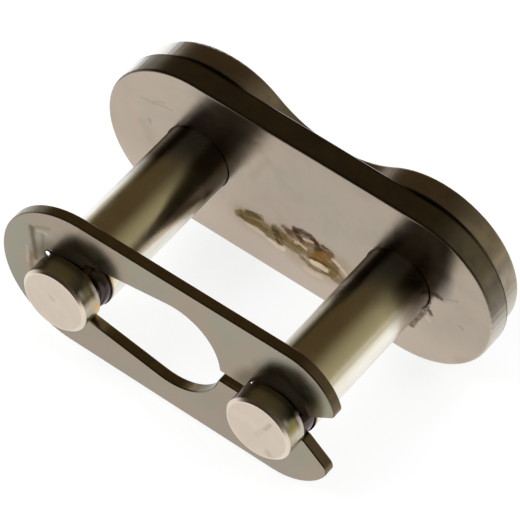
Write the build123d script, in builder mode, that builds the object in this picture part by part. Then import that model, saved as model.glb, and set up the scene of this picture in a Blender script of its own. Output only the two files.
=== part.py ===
from build123d import *
from math import radians, tan
import os

os.makedirs("parts", exist_ok=True)

# Chain connecting link with a spring clip, in millimetres.
# Origin: midway between the two pins and halfway along their length.
# +X runs along the pitch to the open end of the clip, -Y runs along the pins from the
# pin plate to the clip, and +Z runs up across the plates.

# ---- chain ----
pitch = 12.7

# ---- pins ----
pin_diameter = 3.96
pin_length = 15.6             # over the riveted head
pin_stub_length = 1.3         # from the groove to the free end
pin_end_chamfer = 0.14
pin_groove_diameter = 3.1
pin_groove_width = 1.0
pin_head_diameter = 4.4       # spread by riveting, over the pin plate's outer face
pin_head_height = 0.35
pin_head_bevel = 0.22

# ---- pin plate, a figure of eight ----
pin_plate_thickness = 1.5
pin_plate_lobe_radius = 5.17
pin_plate_lobe_offset = 0.25  # lobe centre, outward of the pin
pin_plate_waist_height = 6.14
pin_plate_edge_rounding = 0.22  # rolled over by the punch, round the outer face
pin_plate_edge_chamfer = 0.12   # tumbled, round the inner face

# ---- cover plate, a long round-ended plate that slips over the pins ----
cover_plate_thickness = 1.5
cover_plate_height = 10.4
cover_plate_end_offset = 0.6  # round end's centre, outward of the pin
cover_plate_edge_rounding = 0.16  # rolled over by the punch, round the outer face
cover_plate_edge_chamfer = 0.1    # tumbled, round the inner face
cover_bore_clearance = 0.05   # radial, between a pin and its hole in the cover plate

# ---- spring clip ----
clip_thickness = 0.65
clip_side_clearance = 0.08    # between the clip's back face and the groove's back wall
clip_seat_clearance = 0.07    # radial, between a groove and its seat in the clip
clip_end_radius = 4.62        # closed end
clip_end_offset = 0.18        # closed end's centre, inward of the first pin
clip_nose_radius = 3.3        # outer corner of each prong
clip_nose_offset = 0.27       # nose centre, outward of the second pin
clip_nose_rise = 1.45         # nose centre, above and below the middle line
clip_window_radius = 2.98     # wide end of the window
clip_window_centre = -0.1
clip_window_neck_height = 4.3  # window's height beside the closed end's seat
clip_window_neck_reach = 0.65  # from the first pin to the window's narrow end
clip_window_corner = 0.45
clip_slit_width = 0.75
clip_throat_width = 1.9       # gap that the second pin's groove snaps through
clip_throat_reach = 1.8       # from the second pin to the outer end of the throat
clip_mouth_flare = 38.0       # degrees, each mouth edge to the middle line
clip_tip_rounding = 0.55
clip_throat_rounding = 0.4     # where the throat opens into the mouth
clip_inner_rounding = 0.16
clip_edge_chamfer = 0.06

# ---- places along the pins ----
free_end_y = -pin_length / 2
groove_front_y = free_end_y + pin_stub_length
groove_back_y = groove_front_y + pin_groove_width
head_top_y = pin_length / 2
pin_plate_outer_y = head_top_y - pin_head_height
pin_plate_inner_y = pin_plate_outer_y - pin_plate_thickness
cover_plate_inner_y = pin_plate_inner_y - cover_plate_thickness
clip_back_y = groove_back_y - clip_side_clearance

# ---- shared sizes ----
pin_radius = pin_diameter / 2
groove_radius = pin_groove_diameter / 2
head_radius = pin_head_diameter / 2
seat_radius = groove_radius + clip_seat_clearance
pin_places = [(-pitch / 2, 0), (pitch / 2, 0)]


def plate_plane(y):
    """A sketch plane across the pins at y, with its normal towards the clip."""
    return Plane.XZ.offset(-y)


# ---- pins: turned, with a groove for the clip and a riveted head ----
def turned_pin(x):
    """One pin, on an axis along Y at x."""
    with BuildPart() as pin:
        with BuildSketch(Plane.XY.shift_origin((x, 0, 0))):
            with BuildLine():
                Polyline(
                    (0, free_end_y),
                    (pin_radius - pin_end_chamfer, free_end_y),
                    (pin_radius, free_end_y + pin_end_chamfer),
                    (pin_radius, groove_front_y),
                    (groove_radius, groove_front_y),
                    (groove_radius, groove_back_y),
                    (pin_radius, groove_back_y),
                    (pin_radius, pin_plate_outer_y),
                    (head_radius, pin_plate_outer_y),
                    (head_radius, head_top_y - pin_head_bevel),
                    (head_radius - pin_head_bevel, head_top_y),
                    (0, head_top_y),
                    close=True,
                )
            make_face()
        revolve(axis=Axis((x, 0, 0), (0, 1, 0)))
    return pin


pin_left = turned_pin(-pitch / 2)
pin_right = turned_pin(pitch / 2)


# ---- pin plate: two round lobes joined by a waist, each arc tangent to the next ----
lobe_x = pitch / 2 + pin_plate_lobe_offset
lobe_r = pin_plate_lobe_radius
waist_half = pin_plate_waist_height / 2
waist_r = (lobe_x**2 + waist_half**2 - lobe_r**2) / (2 * (lobe_r - waist_half))
waist_centre = waist_half + waist_r
tangent_share = lobe_r / (lobe_r + waist_r)
tangent_x = lobe_x * (1 - tangent_share)
tangent_z = waist_centre * tangent_share

with BuildPart() as pin_plate:
    with BuildSketch(plate_plane(pin_plate_outer_y)):
        with BuildLine():
            ThreePointArc((-tangent_x, tangent_z), (0, waist_half), (tangent_x, tangent_z))
            ThreePointArc((tangent_x, tangent_z), (lobe_x + lobe_r, 0), (tangent_x, -tangent_z))
            ThreePointArc((tangent_x, -tangent_z), (0, -waist_half), (-tangent_x, -tangent_z))
            ThreePointArc((-tangent_x, -tangent_z), (-lobe_x - lobe_r, 0), (-tangent_x, tangent_z))
        make_face()
    extrude(amount=pin_plate_thickness)
    fillet(pin_plate.edges().group_by(Axis.Y)[-1], pin_plate_edge_rounding)
    chamfer(pin_plate.edges().group_by(Axis.Y)[0], pin_plate_edge_chamfer)
    with Locations(plate_plane(pin_plate_inner_y)):
        with Locations(*pin_places):
            Hole(pin_radius)


# ---- cover plate ----
cover_plate_length = pitch + 2 * cover_plate_end_offset + cover_plate_height

with BuildPart() as cover_plate:
    with BuildSketch(plate_plane(pin_plate_inner_y)):
        SlotOverall(cover_plate_length, cover_plate_height)
    extrude(amount=cover_plate_thickness)
    fillet(cover_plate.edges().group_by(Axis.Y)[0], cover_plate_edge_rounding)
    chamfer(cover_plate.edges().group_by(Axis.Y)[-1], cover_plate_edge_chamfer)
    with Locations(plate_plane(cover_plate_inner_y)):
        with Locations(*pin_places):
            Hole(pin_radius + cover_bore_clearance)


# ---- spring clip: blanked from sheet, open at one end ----
end_centre_x = -pitch / 2 + clip_end_offset
nose_centre_x = pitch / 2 + clip_nose_offset
throat_half = clip_throat_width / 2
throat_end_x = pitch / 2 + clip_throat_reach
mouth_x = nose_centre_x + 2 * clip_nose_radius
mouth_half = throat_half + (mouth_x - throat_end_x) * tan(radians(clip_mouth_flare))
neck_x = -pitch / 2 + clip_window_neck_reach + clip_window_corner
neck_corner_z = clip_window_neck_height / 2 - clip_window_corner
clip_plane = plate_plane(clip_back_y)

with BuildPart() as spring_clip:
    # outer outline, from the round closed end to the two noses
    with BuildSketch(clip_plane):
        with Locations((end_centre_x, 0)):
            Circle(clip_end_radius)
        with Locations((nose_centre_x, clip_nose_rise), (nose_centre_x, -clip_nose_rise)):
            Circle(clip_nose_radius)
        make_hull()
    extrude(amount=clip_thickness)
    # window, wide towards the open end so that it passes over a pin's stub
    with BuildSketch(clip_plane):
        with Locations((clip_window_centre, 0)):
            Circle(clip_window_radius)
        with Locations((neck_x, neck_corner_z), (neck_x, -neck_corner_z)):
            Circle(clip_window_corner)
        make_hull()
    extrude(amount=clip_thickness, mode=Mode.SUBTRACT)
    # both seats, the first one's way into the window, the slit, the throat and the mouth
    with BuildSketch(clip_plane):
        with Locations(*pin_places):
            Circle(seat_radius)
        with Locations(((neck_x - pitch / 2) / 2, 0)):
            Rectangle(neck_x + pitch / 2, 2 * seat_radius)
        with Locations(((clip_window_centre + pitch / 2) / 2, 0)):
            Rectangle(pitch / 2 - clip_window_centre, clip_slit_width)
        Polygon(
            (pitch / 2, throat_half),
            (pitch / 2, -throat_half),
            (throat_end_x, -throat_half),
            (mouth_x, -mouth_half),
            (mouth_x, mouth_half),
            (throat_end_x, throat_half),
            align=None,
        )
    extrude(amount=clip_thickness, mode=Mode.SUBTRACT)
    # rounded prong tips and throat, then the corners of the slit and of both seats
    corners = spring_clip.edges().filter_by(Axis.Y)
    fillet(corners.sort_by(Axis.X)[-2:], clip_tip_rounding)
    corners = spring_clip.edges().filter_by(Axis.Y)
    throat_corners = corners.filter_by(lambda edge: abs(edge.center().X - throat_end_x) < 0.005)
    fillet(throat_corners, clip_throat_rounding)
    corners = spring_clip.edges().filter_by(Axis.Y)
    inner_heights = (clip_slit_width / 2, throat_half, seat_radius)
    inner_corners = corners.filter_by(
        lambda edge: any(abs(abs(edge.center().Z) - z) < 0.005 for z in inner_heights)
    )
    fillet(inner_corners, clip_inner_rounding)
    rims = spring_clip.edges().group_by(Axis.Y)
    chamfer(rims[0] + rims[-1], clip_edge_chamfer)


# ---- one file for each piece ----
pieces = {
    "pin_plate": pin_plate,
    "pin_left": pin_left,
    "pin_right": pin_right,
    "cover_plate": cover_plate,
    "spring_clip": spring_clip,
}
for name, piece in pieces.items():
    piece.part.label = name
    export_step(piece.part, f"parts/{name}.step")
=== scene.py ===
"""Looks of the chain connecting link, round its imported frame.

Lengths are metres in the scene, and millimetres in the materials, the marks and the oil.
Angles round a pin are degrees: 0 on its right, 90 on top and 180 on its left.
"""

import math

import bmesh
import bpy
from mathutils import Matrix, Vector


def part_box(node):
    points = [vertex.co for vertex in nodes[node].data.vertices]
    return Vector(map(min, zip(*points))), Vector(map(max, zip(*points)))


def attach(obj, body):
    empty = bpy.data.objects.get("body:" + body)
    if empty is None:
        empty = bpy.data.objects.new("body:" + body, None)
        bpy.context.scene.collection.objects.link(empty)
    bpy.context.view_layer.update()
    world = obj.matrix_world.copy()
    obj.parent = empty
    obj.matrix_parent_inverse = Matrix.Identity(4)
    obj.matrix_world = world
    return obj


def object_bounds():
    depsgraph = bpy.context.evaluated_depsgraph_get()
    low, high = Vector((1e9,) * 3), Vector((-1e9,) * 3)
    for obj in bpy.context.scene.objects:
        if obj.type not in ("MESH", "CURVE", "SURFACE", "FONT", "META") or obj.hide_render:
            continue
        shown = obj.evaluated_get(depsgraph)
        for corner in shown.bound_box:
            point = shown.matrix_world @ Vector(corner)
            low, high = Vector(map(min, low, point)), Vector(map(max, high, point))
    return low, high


MM = 0.001

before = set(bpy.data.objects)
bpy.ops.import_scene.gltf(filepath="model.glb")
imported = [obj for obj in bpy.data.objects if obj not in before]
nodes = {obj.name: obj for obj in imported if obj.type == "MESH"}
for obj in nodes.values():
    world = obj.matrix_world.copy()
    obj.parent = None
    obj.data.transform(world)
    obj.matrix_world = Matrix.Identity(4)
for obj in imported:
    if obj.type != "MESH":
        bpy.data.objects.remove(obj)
cad_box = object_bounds()


# ---- small helpers for building shader nodes ----
class Graph:
    """A node tree that is built by calls, each returning an output socket."""

    def __init__(self, tree):
        self.tree = tree
        tree.nodes.clear()

    def add(self, kind, inputs=(), **settings):
        node = self.tree.nodes.new(kind)
        for key, value in settings.items():
            setattr(node, key, value)
        for key, value in dict(inputs).items():
            self.put(node.inputs[key], value)
        return node

    def put(self, socket, value):
        if isinstance(value, bpy.types.NodeSocket):
            self.tree.links.new(value, socket)
        else:
            socket.default_value = value

    def math(self, operation, *values):
        node = self.add("ShaderNodeMath", operation=operation)
        for socket, value in zip(node.inputs, values):
            self.put(socket, value)
        return node.outputs[0]

    def vector(self, operation, a, b=(0, 0, 0), scale=1.0):
        """A vector, or a number where the operation gives one."""
        node = self.add("ShaderNodeVectorMath", operation=operation)
        self.put(node.inputs[0], a)
        self.put(node.inputs[1], b)
        self.put(node.inputs[3], scale)
        return node.outputs[1 if operation in ("DOT_PRODUCT", "LENGTH") else 0]

    def step(self, value, low, high, out_low=0.0, out_high=1.0):
        """A smooth step from out_low to out_high as value goes from low to high."""
        node = self.add("ShaderNodeMapRange", interpolation_type="SMOOTHSTEP")
        for socket, v in zip(node.inputs[:5], (value, low, high, out_low, out_high)):
            self.put(socket, v)
        return node.outputs[0]

    def mix(self, factor, a, b, blend="MIX"):
        """Colour a at factor 0 and b at 1. A Mix node has its colours in sockets 6 and 7."""
        node = self.add("ShaderNodeMix", data_type="RGBA", blend_type=blend)
        self.put(node.inputs[0], factor)
        self.put(node.inputs[6], a)
        self.put(node.inputs[7], b)
        return node.outputs[2]

    def noise(self, vector, scale, detail=4.0, roughness=0.55, colour=False):
        settings = {"Vector": vector, "Scale": scale, "Detail": detail, "Roughness": roughness}
        node = self.add("ShaderNodeTexNoise", settings)
        return node.outputs["Color" if colour else "Fac"]

    def stretched(self, vector, factors):
        """Each component of vector times its own factor."""
        return self.vector("MULTIPLY", vector, factors)

    def millimetres(self):
        """The place on the piece."""
        place = self.add("ShaderNodeTexCoord").outputs["Object"]
        return self.vector("SCALE", place, scale=1 / MM)

    def near(self, value, centre, reach, core=0.0):
        """1 within core of centre, 0 beyond reach."""
        return self.step(self.math("ABSOLUTE", self.math("SUBTRACT", value, centre)), reach, core)

    def both(self, *factors):
        """The product of the factors."""
        product = factors[0]
        for factor in factors[1:]:
            product = self.math("MULTIPLY", product, factor)
        return product

    def blend_values(self, factor, a, b):
        """Number a at factor 0 and b at 1."""
        return self.math("MULTIPLY_ADD", factor, self.math("SUBTRACT", b, a), a)

    def trail(self, place, line):
        """Distance from place to a line through (x, z) places."""
        nearest = None
        for (x0, z0), (x1, z1) in zip(line, line[1:]):
            run = Vector((x1 - x0, 0, z1 - z0))
            offset = self.vector("SUBTRACT", place, (x0, 0, z0))
            share = self.vector("DOT_PRODUCT", offset, run / run.length_squared)
            share = self.math("MINIMUM", self.math("MAXIMUM", share, 0.0), 1.0)
            gap = self.vector("SUBTRACT", offset, self.vector("SCALE", run, scale=share))
            gap = self.vector("LENGTH", gap)
            nearest = gap if nearest is None else self.math("MINIMUM", nearest, gap)
        return nearest

    def split(self, vector):
        """Its x, y and z."""
        node = self.add("ShaderNodeSeparateXYZ", {0: vector})
        return node.outputs[0], node.outputs[1], node.outputs[2]


def material(name):
    """A new material, and its empty node tree."""
    made = bpy.data.materials.new(name)
    made.use_nodes = True
    return made, Graph(made.node_tree)


def finish_surface(g, colour, roughness, height, bump, **others):
    """A Principled surface with relief from height, bump millimetres deep.

    others are values for its further sockets, with _ for each space.
    """
    surface = g.add("ShaderNodeBsdfPrincipled", {"Base Color": colour, "Roughness": roughness})
    for key, value in others.items():
        g.put(surface.inputs[key.replace("_", " ")], value)
    relief = g.add("ShaderNodeBump", {"Height": height, "Strength": 1.0, "Distance": bump * MM})
    g.put(surface.inputs["Normal"], relief.outputs[0])
    output = g.add("ShaderNodeOutputMaterial")
    g.put(output.inputs[0], surface.outputs[0])


# ---- places, in millimetres, from the frame ----
clip_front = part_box("spring_clip")[0].y / MM
cover_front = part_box("cover_plate")[0].y / MM
plates_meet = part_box("cover_plate")[1].y / MM
heads_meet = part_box("pin_plate")[1].y / MM
left_box = [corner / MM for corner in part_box("pin_left")]
pin_x = -(left_box[0].x + left_box[1].x) / 2
stub_front = left_box[0].y
head_radius = (left_box[1].z - left_box[0].z) / 2  # the riveted head is a pin's widest part

# sizes of a pin that no box gives
shaft_radius = 1.98
neck_radius = 1.55
end_chamfer = 0.14
stub_length = 1.3
groove_width = 1.0
groove_front = stub_front + stub_length
groove_back = groove_front + groove_width

skin = 0.005  # how far a piece of oil or grime stands off


# ---- marks: each is a stroke (colour, half width, strength, line of (x, z) places) ----
OLIVE = (0.14, 0.085, 0.01, 1)
DARK_OLIVE = (0.06, 0.034, 0.004, 1)
UMBER = (0.045, 0.01, 0.0, 1)
AMBER = (0.19, 0.085, 0.0, 1)
BROWN = (0.13, 0.06, 0.012, 1)
RUST = (0.2, 0.115, 0.06, 1)
# pale oil, with a painted sheen
PALE_OIL_SHEEN = (0.7, 0.56, 0.39, 1)
TAN = (0.34, 0.25, 0.14, 1)
DULL = (0.27, 0.24, 0.19, 1)
SHADE = (0.02, 0.016, 0.01, 1)
GREEN_SHADE = (0.1, 0.1, 0.068, 1)

# stains and painted shade have soft edges
COVER_STAINS_AND_SHADE = (
    # haze round the smear
    (TAN, 1.2, 0.55, ((-3.2, -2.3), (-1.0, -2.3), (1.0, -2.2), (3.1, -2.5))),
    (TAN, 0.9, 0.35, ((0.2, -3.1), (1.4, -3.3), (2.6, -3.0))),
    (OLIVE, 0.65, 0.3, ((-3.3, -2.2), (-2.0, -2.1), (-0.8, -2.2), (0.6, -2.1), (1.8, -2.0), (2.9, -2.4))),
    (TAN, 0.8, 0.5, ((-0.5, -1.5), (1.5, -1.2), (3.2, -1.5))),
    # painted shade right of the right pin, up to the plate's edge
    (SHADE, 0.7, 0.5, ((9.1, 2.4), (9.1, 1.4), (8.9, 0.8))),
    (SHADE, 0.75, 0.7, ((8.75, 5.0), (8.8, 3.2), (8.6, 1.6), (8.2, 0.6))),
    (SHADE, 0.6, 0.35, ((9.2, 4.5), (9.1, 3.3), (8.9, 2.4))),
    # faint spots at both ends and in the middle
    (DULL, 0.6, 0.25, ((-9.85, 0.1), (-9.5, -0.3), (-9.3, -0.9))),
    (TAN, 0.6, 0.3, ((10.6, -3.4), (11.4, -2.9))),
    (TAN, 0.5, 0.4, ((-3.65, 3.4), (-3.5, 4.1))),
    (TAN, 0.45, 0.25, ((-2.95, 1.0), (-2.1, 3.0))),
)
COVER_MARKS = (
    # the body of the smear, brown in the middle
    (OLIVE, 0.36, 0.75, ((-3.2, -2.3), (-2.3, -2.1), (-1.3, -2.2), (-0.5, -2.1), (0.4, -2.2))),
    (OLIVE, 0.34, 0.7, ((0.2, -2.1), (1.0, -2.4), (2.0, -2.6), (2.8, -2.9), (3.4, -3.0))),
    (BROWN, 0.4, 0.8, ((-0.3, -1.5), (0.4, -1.25), (1.2, -1.4), (1.9, -1.7), (2.6, -2.1))),
    (BROWN, 0.3, 0.6, ((0.3, -1.8), (1.1, -1.9), (1.9, -2.2))),
    # painted highlights: pale rims below the smear
    (PALE_OIL_SHEEN, 0.2, 0.5, ((-2.9, -2.78), (-2.3, -2.8), (-1.7, -2.9))),
    (PALE_OIL_SHEEN, 0.24, 1.0, ((-1.45, -2.95), (-0.9, -3.08), (-0.6, -3.02))),
    (PALE_OIL_SHEEN, 0.2, 0.5, ((0.9, -3.5), (1.3, -3.55), (1.9, -3.4))),
    # left part: olive lines on both sides of a dark blob
    (OLIVE, 0.3, 0.85, ((-3.55, -2.45), (-3.25, -2.15), (-2.8, -1.85), (-2.15, -1.7))),
    (DARK_OLIVE, 0.2, 0.8, ((-2.95, -1.92), (-2.6, -1.78), (-2.3, -1.75))),
    (DARK_OLIVE, 0.2, 0.75, ((-3.3, -2.5), (-2.7, -2.47), (-2.2, -2.32), (-1.75, -2.4))),
    (OLIVE, 0.3, 0.85, ((-2.9, -2.5), (-2.2, -2.38), (-1.6, -2.62), (-1.1, -2.7))),
    (OLIVE, 0.36, 0.8, ((-1.2, -1.8), (-0.7, -1.95), (-0.5, -2.4), (0.0, -2.55))),
    (DARK_OLIVE, 0.34, 1.0, ((-1.22, -2.0), (-1.0, -2.35), (-0.8, -2.62))),
    (UMBER, 0.22, 0.6, ((-0.7, -1.3), (-0.35, -1.45), (0.1, -1.3))),
    # umber arch in the middle, with two spurs and rust between them
    (UMBER, 0.28, 0.9, ((0.0, -0.95), (0.4, -0.8), (0.95, -0.8), (1.3, -1.0))),
    (UMBER, 0.26, 0.9, ((1.2, -1.0), (1.5, -1.3), (1.5, -1.65))),
    (UMBER, 0.26, 0.95, ((0.05, -1.1), (0.3, -1.45), (0.5, -1.6))),
    (RUST, 0.2, 0.9, ((1.15, -1.4), (0.65, -1.65))),
    # right part: dark olive over amber
    (DARK_OLIVE, 0.34, 1.0, ((1.5, -1.5), (1.8, -1.1), (2.25, -1.2))),
    (UMBER, 0.2, 0.7, ((1.6, -1.35), (2.2, -1.3))),
    (AMBER, 0.3, 0.95, ((2.15, -1.45), (1.85, -1.55), (1.5, -1.85))),
    (AMBER, 0.3, 1.0, ((1.1, -2.3), (1.45, -2.1), (2.1, -2.16))),
    (DARK_OLIVE, 0.14, 0.8, ((1.15, -2.4), (1.7, -2.28), (2.3, -2.3))),
    (OLIVE, 0.26, 0.85, ((2.3, -2.1), (2.65, -2.4), (2.5, -2.8), (2.0, -2.92))),
    (OLIVE, 0.2, 0.75, ((0.35, -2.65), (0.85, -2.95), (1.5, -3.08), (2.0, -2.92))),
    (OLIVE, 0.2, 0.65, ((2.5, -1.9), (3.0, -2.45), (3.3, -2.8))),
    # pale gaps, painted as highlights on the oil
    (PALE_OIL_SHEEN, 0.14, 0.7, ((1.1, -1.15), (0.85, -1.25), (0.6, -1.3))),
    (PALE_OIL_SHEEN, 0.16, 0.6, ((0.1, -1.95), (0.35, -1.85), (0.75, -1.95))),
    (PALE_OIL_SHEEN, 0.24, 0.95, ((1.25, -2.65), (1.7, -2.57), (2.1, -2.65))),
    (PALE_OIL_SHEEN, 0.14, 0.6, ((2.5, -1.5), (2.95, -1.75), (3.4, -2.15))),
    # right of the right pin's foot, and below it, where the long umber stroke down the pin's right side
    # is painted shade
    (UMBER, 0.2, 0.9, ((8.4, 0.5), (8.65, 0.62), (8.95, 0.6))),
    (DULL, 0.12, 0.4, ((8.9, 0.7), (9.4, 0.85), (9.9, 1.05))),
    (DARK_OLIVE, 0.18, 0.9, ((8.48, -0.9), (8.55, -1.12))),
    (UMBER, 0.26, 0.8, ((8.3, 0.1), (8.2, -0.9), (7.85, -1.9), (7.5, -2.8))),
    (PALE_OIL_SHEEN, 0.12, 0.5, ((8.4, -1.55), (8.55, -1.65))),
    (DULL, 0.14, 0.5, ((10.3, -0.68), (10.45, -0.76))),
    # left end
    (DULL, 0.1, 0.35, ((-10.2, 1.95), (-9.3, 2.1), (-8.2, 2.35))),
    (DULL, 0.12, 0.3, ((-9.3, 2.2), (-8.7, 2.6))),
    (DULL, 0.14, 0.6, ((-9.5, 0.6), (-9.45, 0.45))),
    # under the top edge
    (PALE_OIL_SHEEN, 0.12, 0.45, ((-3.7, 4.38), (-3.25, 4.45))),
    (DULL, 0.2, 0.35, ((-3.9, 3.9), (-3.2, 3.6), (-2.7, 3.8))),
)
CLIP_STAINS_AND_PAINTED_LIGHT = (
    # painted shade and reflection that darken the face above both stubs
    (GREEN_SHADE, 0.9, 0.5, ((-7.0, 2.7), (-6.2, 3.4), (-4.9, 3.5), (-4.0, 2.5))),
    (SHADE, 0.8, 0.3, ((-7.6, 1.2), (-7.1, 2.0), (-6.2, 2.7))),
    (GREEN_SHADE, 0.95, 0.75, ((5.4, 2.5), (6.1, 3.3), (7.3, 3.7), (8.2, 3.1), (8.5, 2.1), (8.4, 1.4))),
    (SHADE, 0.7, 0.3, ((5.2, 1.8), (5.8, 2.4), (7.0, 2.8), (7.9, 2.2), (8.1, 1.4))),
    # lines left of the left stub: the dark olive and olive lines are a painted reflection of the stub,
    # beside a rust streak and pale lines
    (DARK_OLIVE, 0.3, 0.7, ((-9.05, 2.35), (-8.92, 1.6), (-8.78, 0.9), (-8.68, 0.2))),
    (OLIVE, 0.2, 0.35, ((-9.1, 2.3), (-8.6, 2.75), (-8.0, 3.1))),
    (OLIVE, 0.2, 0.4, ((-8.35, 2.4), (-8.3, 1.5), (-8.25, 0.9))),
    (PALE_OIL_SHEEN, 0.16, 0.2, ((-8.75, 2.35), (-8.1, 2.6))),
    (RUST, 0.3, 0.7, ((-9.0, 0.3), (-8.92, -0.4), (-8.8, -1.0))),
    (PALE_OIL_SHEEN, 0.15, 0.25, ((-9.28, 0.7), (-9.18, -0.5))),
)
# spots on the pins' free ends
END_STAINS = (
    (DULL, 0.3, 0.22, ((-6.5, 0.25), (-6.4, 0.15))),
    (DULL, 0.2, 0.45, ((7.1, 1.1), (6.95, 0.7), (6.75, 0.45))),
    (RUST, 0.34, 0.25, ((7.15, -1.2), (7.25, -1.3))),
    (RUST, 0.3, 0.12, ((6.35, -0.35), (6.6, 0.1))),
)


def drawn(g, colour, place, strokes, core, grain=1.0):
    """colour with the strokes laid over it at place, (x, 0, z).

    core is the share of a stroke's half width that is full, and grain thins all strokes.
    """
    for tint, half_width, strength, line in strokes:
        shade = g.step(g.trail(place, line), half_width, core * half_width, 0.0, strength)
        colour = g.mix(g.both(shade, grain), colour, tint)
    return colour


def rippled(g, place, scale, reach):
    """place, moved about by up to about reach, and flattened to (x, 0, z)."""
    ripple = g.vector("SUBTRACT", g.noise(place, scale, 3.0, 0.6, colour=True), (0.5, 0.5, 0.5))
    place = g.vector("ADD", place, g.vector("SCALE", ripple, scale=2 * reach))
    return g.stretched(place, (1, 0, 1))


# ---- steels ----
def facing_out(g):
    """1 on the flat faces across the pins, 0 on the edge bands and on round surfaces."""
    _, across, _ = g.split(g.add("ShaderNodeNewGeometry").outputs["True Normal"])
    return g.step(g.math("ABSOLUTE", across), 0.85, 0.98)


def plate_steel(name, edge, lit_from, stains_and_shade=(), marks=()):
    """Plate steel. Its edge has a painted highlight where it faces left by more than lit_from."""
    made, g = material(name)
    p = g.millimetres()
    _, along, height_z = g.split(p)
    broad = g.noise(p, 0.22, 3.0)
    cloud = g.noise(p, 0.8, 5.0, 0.6)
    fine = g.noise(p, 9.0, 6.0, 0.7)

    # the face is clouded, and painted paler low down as light
    face = g.mix(g.step(broad, 0.35, 0.65), (0.47, 0.385, 0.31, 1), (0.445, 0.385, 0.31, 1))
    face = g.mix(g.step(cloud, 0.4, 0.75, 0.0, 0.25), face, (0.36, 0.32, 0.26, 1))
    face = g.mix(g.step(height_z, -1.0, -4.0, 0.0, 0.8), face, (0.56, 0.47, 0.385, 1))
    # stains, with painted shade right of the right pin
    face = drawn(g, face, g.stretched(p, (1, 0, 1)), stains_and_shade, core=0.0)
    grain = g.step(g.noise(g.stretched(p, (1.0, 1.0, 2.4)), 2.6, 5.0, 0.7), 0.36, 0.56, 0.55, 1.0)
    # the smear and other marks, with painted highlights and painted shade among them
    face = drawn(g, face, rippled(g, p, scale=3.0, reach=0.13), marks, core=0.5, grain=grain)

    # the edge is painted pale except where it faces up, and near white where it faces left, as painted
    # light, with a line of painted shade where the plates meet
    rim = g.mix(g.step(cloud, 0.35, 0.65), edge, [0.75 * c for c in edge[:3]] + [1])
    leftward, _, upward = g.split(g.add("ShaderNodeNewGeometry").outputs["True Normal"])
    rim = g.mix(g.step(upward, 0.35, -0.05), rim, (0.54, 0.49, 0.41, 1))
    rim = g.mix(g.step(leftward, -lit_from, -lit_from - 0.2), rim, (0.97, 0.94, 0.9, 1))
    seam_shade = g.step(g.math("ABSOLUTE", g.math("SUBTRACT", along, plates_meet)), 0.24, 0.1)
    rim = g.mix(seam_shade, rim, (0.05, 0.04, 0.025, 1))

    colour = g.mix(facing_out(g), rim, face)
    roughness = g.step(cloud, 0.3, 0.7, 0.2, 0.27)
    height = g.math("ADD", g.math("MULTIPLY", fine, 0.5), g.math("MULTIPLY", cloud, 0.5))
    finish_surface(g, colour, roughness, height, bump=0.006, Metallic=1.0)
    return made


def pin_shaft(g, p, angle, along, left, cloud):
    """Bright steel under oil and painted shade, which thicken towards the cover plate.

    Returns the colour and how far the metal is hidden.
    """
    right = g.math("SUBTRACT", 1.0, left)

    # streaked sides, and a yellower top
    streaks = g.noise(g.stretched(p, (3.0, 0.25, 3.0)), 1.0, 4.0, 0.6)
    side = g.mix(g.step(streaks, 0.35, 0.7), (0.94, 0.91, 0.84, 1), (0.84, 0.8, 0.7, 1))
    on_top = g.both(g.step(angle, 0.0, 58.0), g.step(angle, 138.0, 116.0))
    steel = g.mix(on_top, side, (0.70, 0.63, 0.42, 1))

    # the oil and painted shade thicken from an uneven line, in their own way on each side, the crown and
    # left flank, which is painted shade
    start = g.math("MULTIPLY_ADD", cloud, 1.6, g.math("SUBTRACT", along, 0.8))
    beside_left = g.step(start, -0.3, 3.0, 0.0, 0.93)
    beside_right = g.both(g.step(start, 0.8, 3.9, 0.0, 0.95), g.step(angle, -5.0, 25.0, 0.75, 1.0))
    beside = g.blend_values(left, beside_right, beside_left)
    above = g.step(start, 0.0, 3.8, 0.0, 0.82)
    crown = g.both(g.step(angle, 58.0, 75.0), g.step(angle, 112.0, 96.0))
    film_and_shade = g.blend_values(crown, beside, above)
    flank = g.both(g.step(angle, 98.0, 112.0), g.step(start, -1.0, 2.5, 0.0, 0.97))
    film_and_shade = g.math("MAXIMUM", film_and_shade, flank)

    # the front half of the right pin's left flank is clear of it
    bright = g.both(right, g.step(angle, 118.0, 132.0), g.step(along, 1.2, -0.8))
    bright = g.both(bright, g.step(along, groove_back + 0.1, groove_back + 0.4))
    film_and_shade = g.both(film_and_shade, g.math("SUBTRACT", 1.0, bright))

    # on the left pin a dark stripe widens towards the cover plate
    width = g.step(along, -3.0, 3.0, 4.0, 48.0)
    stripe = g.step(g.math("ABSOLUTE", g.math("SUBTRACT", angle, 34.0)), width, g.both(width, 0.45))
    stripe = g.both(stripe, left, g.step(along, -3.5, 0.5, 0.0, 0.85))
    film_and_shade = g.math("MAXIMUM", film_and_shade, stripe)
    shaft = g.mix(film_and_shade, steel, (0.055, 0.038, 0.02, 1))

    # behind the groove, a dark edge and then an amber band low on the right
    amber = g.both(g.near(along, groove_back + 0.12, 0.12, 0.04), g.step(angle, 40.0, 20.0, 0.0, 0.7))
    shaft = g.mix(amber, shaft, (0.6, 0.4, 0.08, 1))
    shaft = g.mix(g.step(along, groove_back + 0.12, groove_back + 0.06), shaft, (0.04, 0.018, 0.012, 1))
    return shaft, g.math("MAXIMUM", g.both(film_and_shade, crown, 0.1), g.both(bright, 0.45))


# colours over a stub, from its right to its left, darkest on the left flank as painted shade: (angle
# where it begins, where it is full, colour)
STUB_BANDS = (
    (15.0, 32.0, (0.27, 0.24, 0.15, 1)),
    (60.0, 80.0, (0.44, 0.34, 0.14, 1)),
    (108.0, 128.0, (0.07, 0.04, 0.02, 1)),
)


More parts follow.
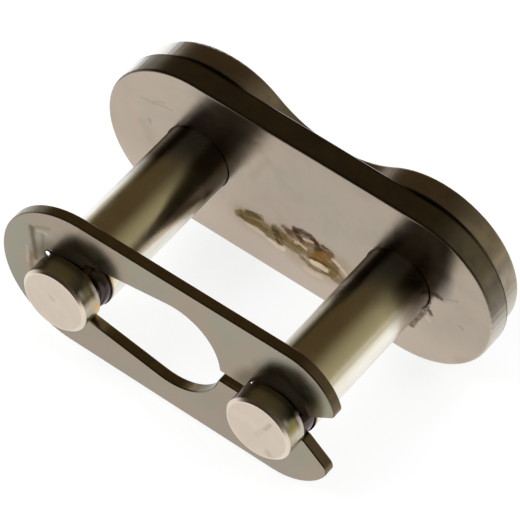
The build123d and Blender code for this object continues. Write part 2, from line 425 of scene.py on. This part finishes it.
def pin_stub(g, angle, along, left, cloud):
    """Bands of oil and painted shade, with wet places, a painted highlight beside the groove and a
    painted glint near the free end.

    Returns the colour and how far the metal is hidden.
    """
    right = g.math("SUBTRACT", 1.0, left)
    colour = g.mix(g.step(cloud, 0.35, 0.65), (0.54, 0.47, 0.36, 1), (0.46, 0.40, 0.29, 1))
    for begins, full, tint in STUB_BANDS:
        colour = g.mix(g.step(angle, begins, full), colour, tint)
    wet = g.both(g.near(along, groove_front, 0.55, 0.15), g.step(angle, 12.0, 30.0, 0.0, 0.7))
    colour = g.mix(wet, colour, (0.07, 0.045, 0.02, 1))
    amber = g.both(g.near(along, groove_front - 0.24, 0.34, 0.1), g.step(angle, 26.0, 8.0, 0.0, 0.9))
    colour = g.mix(g.both(amber, left), colour, (0.72, 0.45, 0.08, 1))
    drop = g.both(g.near(angle, 31.0, 15.0), g.near(along, groove_front - 0.75, 0.5), right, 0.7)
    colour = g.mix(drop, colour, (0.32, 0.27, 0.04, 1))
    painted_edge_highlight = g.both(g.near(along, groove_front - 0.02, 0.3, 0.1), g.near(angle, 22.0, 30.0, 12.0))
    colour = g.mix(painted_edge_highlight, colour, (0.66, 0.57, 0.5, 1))
    painted_glint = g.both(g.near(angle, 45.0, 11.0), g.near(along, stub_front + 0.36, 0.24))
    colour = g.mix(painted_glint, colour, (0.4, 0.42, 0.4, 1))
    crown = g.step(angle, 45.0, 65.0, 0.0, 0.1)
    hidden = g.math("MAXIMUM", crown, g.math("MAXIMUM", g.both(painted_edge_highlight, 0.5), g.both(painted_glint, 0.35)))
    return colour, g.math("MAXIMUM", hidden, g.both(drop, 0.3))


def pin_end(g, place, radius, cloud):
    """A spotted flat inside a chamfer painted paler, as a highlight."""
    colour = g.mix(g.step(cloud, 0.3, 0.7), (0.64, 0.54, 0.44, 1), (0.60, 0.515, 0.42, 1))
    colour = drawn(g, colour, place, END_STAINS, core=0.0)
    flat_radius = shaft_radius - end_chamfer
    rim = g.step(radius, flat_radius - 0.14, flat_radius)
    return g.mix(rim, colour, (0.74, 0.64, 0.53, 1))


def pin_steel():
    """Both pins' steel: shaft, groove, stub, free end and riveted head, each in its own look."""
    made, g = material("pin_steel_look")
    p = g.millimetres()
    rightward, along, upward = g.split(p)
    from_axis = g.math("MULTIPLY_ADD", g.math("SIGN", rightward), -pin_x, rightward)
    angle = g.math("MULTIPLY", g.math("ARCTAN2", upward, from_axis), 180 / math.pi)
    squares = g.math("ADD", g.math("POWER", from_axis, 2.0), g.math("POWER", upward, 2.0))
    radius = g.math("SQRT", squares)
    left = g.step(rightward, 1.0, -1.0)
    cloud = g.noise(p, 0.9, 4.0, 0.6)
    fine = g.noise(g.stretched(p, (1.0, 6.0, 1.0)), 2.5, 5.0, 0.7)

    # the shaft, whose left flank is dulled towards the cover plate as painted shade, sooner on the left
    # pin
    colour, film_and_shade = pin_shaft(g, p, angle, along, left, cloud)
    dull_flank_shade = g.both(g.step(angle, 122.0, 140.0), g.step(along, -2.0, 2.0))
    film_and_shade = g.math("MAXIMUM", film_and_shade, g.both(dull_flank_shade, g.blend_values(left, g.step(along, 0.5, 2.0), 1.0)))

    # the groove, oily but for the left pin's right side and below
    below_shaft = g.step(radius, shaft_radius - 0.04, shaft_radius - 0.18)
    in_groove = g.both(below_shaft, g.step(along, 0.0, -1.0))
    bare = g.both(g.step(angle, 25.0, 5.0), left)
    oil = g.mix(bare, (0.05, 0.03, 0.014, 1), (0.7, 0.62, 0.5, 1))
    colour = g.mix(in_groove, colour, oil)

    # the stub, the free end and the head
    on_stub = g.step(along, groove_front + 0.02, groove_front - 0.02)
    stub, hidden = pin_stub(g, angle, along, left, cloud)
    colour = g.mix(on_stub, colour, stub)
    on_end = g.step(along, stub_front + 0.2, stub_front + 0.1)
    end = pin_end(g, rippled(g, p, scale=2.0, reach=0.1), radius, cloud)
    colour = g.mix(on_end, colour, end)
    on_head = g.step(along, heads_meet - 0.05, heads_meet)
    head = g.mix(g.step(cloud, 0.3, 0.7), (0.52, 0.44, 0.36, 1), (0.44, 0.38, 0.31, 1))
    colour = g.mix(on_head, colour, head)

    # where oil, painted shade and painted highlights hide the metal, it neither mirrors nor shines
    hidden = g.math("MAXIMUM", film_and_shade, g.both(on_stub, hidden))
    clean = g.math("MAXIMUM", on_end, on_head)
    metal = g.math("SUBTRACT", 1.0, g.both(hidden, g.math("SUBTRACT", 1.0, clean)))
    roughness = g.step(cloud, 0.3, 0.7, 0.2, 0.28)
    sheen = g.both(0.5, metal)
    finish_surface(g, colour, roughness, fine, bump=0.003, Metallic=metal, Specular_IOR_Level=sheen)
    return made


def clip_steel():
    """Grey steel with a brown edge, and painted shade round the tops of both pins."""
    made, g = material("clip_steel_look")
    p = g.millimetres()
    rightward, _, upward = g.split(p)
    tint = g.noise(p, 0.35, 2.0)
    cloud = g.noise(p, 1.2, 5.0, 0.6)
    face = g.mix(g.step(tint, 0.38, 0.62), (0.30, 0.28, 0.215, 1), (0.335, 0.275, 0.21, 1))
    face = g.mix(g.step(rightward, -9.0, -10.2, 0.0, 0.45), face, (0.29, 0.3, 0.23, 1))
    # painted paler low down, as light
    face = g.mix(g.step(upward, -2.0, -4.0, 0.0, 0.5), face, (0.37, 0.31, 0.25, 1))
    # stains, with painted shade and reflection round the stubs
    face = drawn(g, face, rippled(g, p, scale=1.6, reach=0.12), CLIP_STAINS_AND_PAINTED_LIGHT, core=0.0)
    # painted shade round the tops of both pins, dark brown and less mirroring
    outward = g.math("SUBTRACT", g.math("ABSOLUTE", rightward), pin_x)
    from_pin = g.vector("LENGTH", g.add("ShaderNodeCombineXYZ", {0: outward, 2: upward}).outputs[0])
    painted_stub_shade = g.both(g.step(from_pin, 3.1, 2.2), g.step(upward, -0.5, 1.0))
    face = g.mix(g.both(painted_stub_shade, 0.65), face, (0.085, 0.045, 0.008, 1))

    # the edge, darker on the right and greyer on the left
    rim = g.mix(g.step(cloud, 0.35, 0.65), (0.30, 0.235, 0.145, 1), (0.23, 0.18, 0.1, 1))
    rim = g.mix(g.step(rightward, 5.0, 8.5, 0.0, 0.75), rim, (0.11, 0.08, 0.05, 1))
    leftward, _, _ = g.split(g.add("ShaderNodeNewGeometry").outputs["True Normal"])
    rim = g.mix(g.step(leftward, -0.3, -0.7, 0.0, 0.7), rim, (0.17, 0.155, 0.13, 1))

    flat = facing_out(g)
    colour = g.mix(flat, rim, face)
    metal = g.math("SUBTRACT", 1.0, g.both(painted_stub_shade, flat, 0.2))
    roughness = g.step(cloud, 0.3, 0.7, 0.18, 0.26)
    finish_surface(g, colour, roughness, cloud, bump=0.004, Metallic=metal)
    return made


def dress(node, made):
    """Puts a material on a CAD node, which has one slot for it."""
    nodes[node].material_slots[0].material = made


COVER_EDGE = (0.19, 0.16, 0.115, 1)
PIN_PLATE_EDGE = (0.36, 0.30, 0.22, 1)

pin_look = pin_steel()
cover_look = plate_steel(
    "cover_plate_look", COVER_EDGE, lit_from=0.66, stains_and_shade=COVER_STAINS_AND_SHADE, marks=COVER_MARKS
)
dress("cover_plate", cover_look)
dress("pin_plate", plate_steel("pin_plate_look", PIN_PLATE_EDGE, lit_from=0.5))
dress("pin_left", pin_look)
dress("pin_right", pin_look)
dress("spring_clip", clip_steel())


# ---- oil beside the stubs and in the grooves, and grime round the bores ----
def mesh_piece(name, points, faces):
    """An object from closed faces; points are in millimetres."""
    mesh = bpy.data.meshes.new(name)
    mesh.from_pydata([Vector(point) * MM for point in points], [], faces)
    work = bmesh.new()
    work.from_mesh(mesh)
    bmesh.ops.recalc_face_normals(work, faces=work.faces)
    work.to_mesh(mesh)
    work.free()
    mesh.shade_smooth()
    piece = bpy.data.objects.new(name, mesh)
    bpy.context.collection.objects.link(piece)
    return piece


def turned_oil(name, axis_x, profile, first, last, steps=48):
    """A closed band round a pin from angle first to angle last.

    profile holds (radius, y) corners. The band swells unevenly, and thins over a sixth of its
    length at both ends.
    """
    thin_end = 0.35  # share of the full thickness
    points, faces = [], []
    inner = profile[0][0]
    for i in range(steps + 1):
        share = i / steps
        turn = math.radians(first + (last - first) * share)
        swell = 0.05 * math.sin(3 * turn + axis_x) + 0.03 * math.sin(7 * turn)
        fullness = thin_end + (1 - thin_end) * min(1.0, 6 * share, 6 * (1 - share))
        for radius, y in profile:
            reach = inner + (radius - inner) * (1 + swell) * fullness
            points.append((axis_x + reach * math.cos(turn), y, reach * math.sin(turn)))
    n = len(profile)
    for i in range(steps):
        for k in range(n):
            a, b = i * n + k, i * n + (k + 1) % n
            faces.append((a, b, b + n, a + n))
    faces.append(tuple(range(n - 1, -1, -1)))
    faces.append(tuple(steps * n + k for k in range(n)))
    return mesh_piece(name, points, faces)


def bead(name, x, z, radius, height, rings=8, sides=24):
    """A drop that stands on the clip's face at (x, z)."""
    points, faces = [], []
    base_y = clip_front - skin
    for i in range(rings):
        slope = math.radians(90 * i / rings)
        reach = radius * math.cos(slope)
        y = base_y - height * math.sin(slope)
        for k in range(sides):
            turn = 2 * math.pi * k / sides
            points.append((x + reach * math.cos(turn), y, z + reach * math.sin(turn)))
    points.append((x, base_y - height, z))
    for i in range(rings - 1):
        for k in range(sides):
            a, b = i * sides + k, i * sides + (k + 1) % sides
            faces.append((a, a + sides, b + sides, b))
    for k in range(sides):
        a, b = (rings - 1) * sides + k, (rings - 1) * sides + (k + 1) % sides
        faces.append((a, rings * sides, b))
    faces.append(tuple(range(sides)))
    return mesh_piece(name, points, faces)


def dark_oil():
    """Nearly black, and reddish brown lower down."""
    made, g = material("dark_oil")
    p = g.millimetres()
    _, _, upward = g.split(p)
    cloud = g.noise(p, 1.5, 3.0, 0.6)
    colour = g.mix(g.step(cloud, 0.4, 0.7), (0.014, 0.009, 0.004, 1), (0.03, 0.018, 0.006, 1))
    colour = g.mix(g.step(upward, 1.1, 0.5), colour, (0.05, 0.022, 0.016, 1))
    finish_surface(g, colour, g.step(cloud, 0.3, 0.7, 0.1, 0.2), cloud, bump=0.01, IOR=1.45)
    return made


def grime():
    """Dark brown, and as pale as the plate left of the right pin."""
    made, g = material("grime")
    p = g.millimetres()
    rightward, _, _ = g.split(p)
    cloud = g.noise(p, 2.5, 4.0, 0.6)
    dark = g.mix(g.step(cloud, 0.35, 0.65), (0.03, 0.02, 0.012, 1), (0.05, 0.035, 0.02, 1))
    fade = g.both(g.step(rightward, pin_x - 0.5, pin_x - 1.1), g.step(rightward, 0.0, 0.1))
    colour = g.mix(fade, dark, (0.30, 0.245, 0.2, 1))
    finish_surface(g, colour, g.step(cloud, 0.3, 0.7, 0.45, 0.6), cloud, bump=0.01, IOR=1.45)
    return made


def groove_fill(front):
    """Section of the oil that fills a groove from front to its back wall, rounded in front."""
    bottom = neck_radius + 0.01
    back = groove_back - 0.01
    return (
        (bottom, front),
        (shaft_radius - 0.24, front + 0.06),
        (shaft_radius - 0.11, front + 0.24),
        (shaft_radius - 0.06, groove_back - 0.15),
        (shaft_radius - 0.05, back),
        (bottom, back),
    )


# Section of the grime. It stands out from the head's radius, not from the shaft's, so both
# rings lie inside the cover plate's steel round the bores, and don't show.
ring_inner = head_radius + skin
ring_outer = head_radius + 0.043
ring_front = cover_front + 0.01
ring_back = cover_front + 0.3
ring = (
    (ring_inner, ring_front),
    (ring_outer, ring_front),
    (ring_outer, ring_back),
    (ring_inner, ring_back),
)

# each fill keeps to the angles where the clip leaves the groove open
fills = [
    turned_oil("oil_fill_left", -pin_x, groove_fill(groove_front + 0.36), first=-50, last=56),
    turned_oil("oil_fill_right", pin_x, groove_fill(groove_front + 0.04), first=-27, last=27),
]
grime_rings = [
    turned_oil("grime_left", -pin_x, ring, first=-70, last=215),
    turned_oil("grime_right", pin_x, ring, first=-70, last=215),
]
beads = [
    bead("oil_bead_left", x=-pin_x - 1.41, z=1.0, radius=0.46, height=0.26),
    bead("oil_bead_right", x=pin_x - 1.42, z=0.98, radius=0.2, height=0.14),
]
oil = dark_oil()
for piece in fills + beads:
    piece.data.materials.append(oil)
    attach(piece, "clip" if piece in beads else "pin_link")
dirt = grime()
for piece in grime_rings:
    piece.data.materials.append(dirt)
    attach(piece, "cover")


# ---- floor: white to the camera and in reflections, and it keeps the shadow ----
def pale_floor():
    """Diffuse grey, with a glow for the camera, and one for reflections that dims further out."""
    made, g = material("pale_floor")
    diffuse = g.add("ShaderNodeBsdfDiffuse", {"Color": (0.28, 0.28, 0.28, 1)})
    rays = g.add("ShaderNodeLightPath")
    reach = g.vector("LENGTH", g.millimetres())
    mirrored = g.math("MAXIMUM", rays.outputs["Is Glossy Ray"], rays.outputs["Is Transmission Ray"])
    mirrored = g.both(mirrored, g.step(reach, 18.0, 80.0, 0.76, 0.2))
    seen = g.math("ADD", g.both(rays.outputs["Is Camera Ray"], 0.8), mirrored)
    glow = g.add("ShaderNodeEmission", {"Color": (1, 1, 1, 1), "Strength": seen})
    floor_shader = g.add("ShaderNodeAddShader")
    g.put(floor_shader.inputs[0], diffuse.outputs[0])
    g.put(floor_shader.inputs[1], glow.outputs[0])
    output = g.add("ShaderNodeOutputMaterial")
    g.put(output.inputs[0], floor_shader.outputs[0])
    return made


floor_size = 1.2
floor_z = cad_box[0].z
bpy.ops.mesh.primitive_plane_add(size=floor_size, location=(0, 0, floor_z))
floor = bpy.context.object
floor.name = "floor"
floor.data.materials.append(pale_floor())


# ---- room: white behind the object, dim and brownish overhead, a pale wall on the right ----
world = bpy.data.worlds.new("studio")
bpy.context.scene.world = world
world.use_nodes = True
g = Graph(world.node_tree)
direction = g.add("ShaderNodeTexCoord").outputs["Generated"]
rightward, backward, up = g.split(direction)
behind = g.step(backward, -0.35, 0.4)
wall = g.math("MULTIPLY", g.step(rightward, -0.1, 0.9), g.math("MULTIPLY_ADD", behind, 0.8, 0.2))
wall = g.mix(wall, (0, 0, 0, 1), (0.34, 0.34, 0.28, 1))
horizon = g.math("MULTIPLY", g.step(up, 0.2, 0.0), g.math("MULTIPLY_ADD", behind, 0.7, 0.3))
horizon = g.mix(horizon, (0, 0, 0, 1), (0.45, 0.44, 0.42, 1))
overhead = g.mix(behind, (0.034, 0.024, 0.014, 1), (0.084, 0.058, 0.028, 1))
room = g.mix(1.0, g.mix(1.0, wall, horizon, "ADD"), overhead, "ADD")

# metal mirrors the room, the rest is lit by a flat grey, and the camera sees white
rays = g.add("ShaderNodeLightPath")
shown = g.mix(rays.outputs["Is Glossy Ray"], (0.6, 0.6, 0.6, 1), room)
shown = g.mix(rays.outputs["Is Camera Ray"], shown, (1, 1, 1, 1))
backdrop = g.add("ShaderNodeBackground", {"Color": shown, "Strength": 1.0})
output = g.add("ShaderNodeOutputWorld")
g.put(output.inputs[0], backdrop.outputs[0])


# ---- lamps ----
def softbox(name, place, size, watts):
    """A round lamp aimed at the link, and left out of reflections."""
    data = bpy.data.lights.new(name, "AREA")
    data.shape = "DISK"
    data.size = size
    data.energy = watts
    lamp = bpy.data.objects.new(name, data)
    bpy.context.collection.objects.link(lamp)
    lamp.location = place
    lamp.rotation_euler = (-Vector(place)).to_track_quat("-Z", "Y").to_euler()
    lamp.visible_glossy = False
    return lamp


softbox("key", (-0.25, -0.22, 0.38), size=0.2, watts=1.0)
softbox("fill", (0.30, 0.12, 0.36), size=0.25, watts=0.5)

# a panel that only the oil beads catch
glint = softbox("glint", (-0.234, -0.18, 0.051), size=0.36, watts=13.0)
glint.visible_glossy = True
glint.visible_diffuse = False
caught = bpy.data.collections.new("beads")
for piece in beads:
    caught.objects.link(piece)
glint.light_linking.receiver_collection = caught


# ---- camera, at the photograph's angle ----
azimuth = math.radians(30.75)
elevation = math.radians(51.57)
roll = math.radians(6.71)
aim = Vector((0.3113, 0.7508, 0.3857))  # millimetres, as is the distance to it
distance = 245.69
back = Vector(
    (
        math.sin(azimuth) * math.cos(elevation),
        -math.cos(azimuth) * math.cos(elevation),
        math.sin(elevation),
    )
)
level = Vector((0, 0, 1)).cross(back).normalized()
upright = back.cross(level)
right = level * math.cos(roll) + upright * math.sin(roll)
above = back.cross(right)
camera = bpy.data.objects.new("camera", bpy.data.cameras.new("camera"))
bpy.context.collection.objects.link(camera)
stand = Matrix.Translation(aim * MM + back * distance * MM)
camera.matrix_world = stand @ Matrix((right, above, back)).transposed().to_4x4()
camera.data.sensor_width = 36
camera.data.lens = 334.44
camera.data.clip_start = 0.01
camera.data.clip_end = 10
bpy.context.scene.camera = camera

bpy.context.scene.view_settings.view_transform = "Standard"
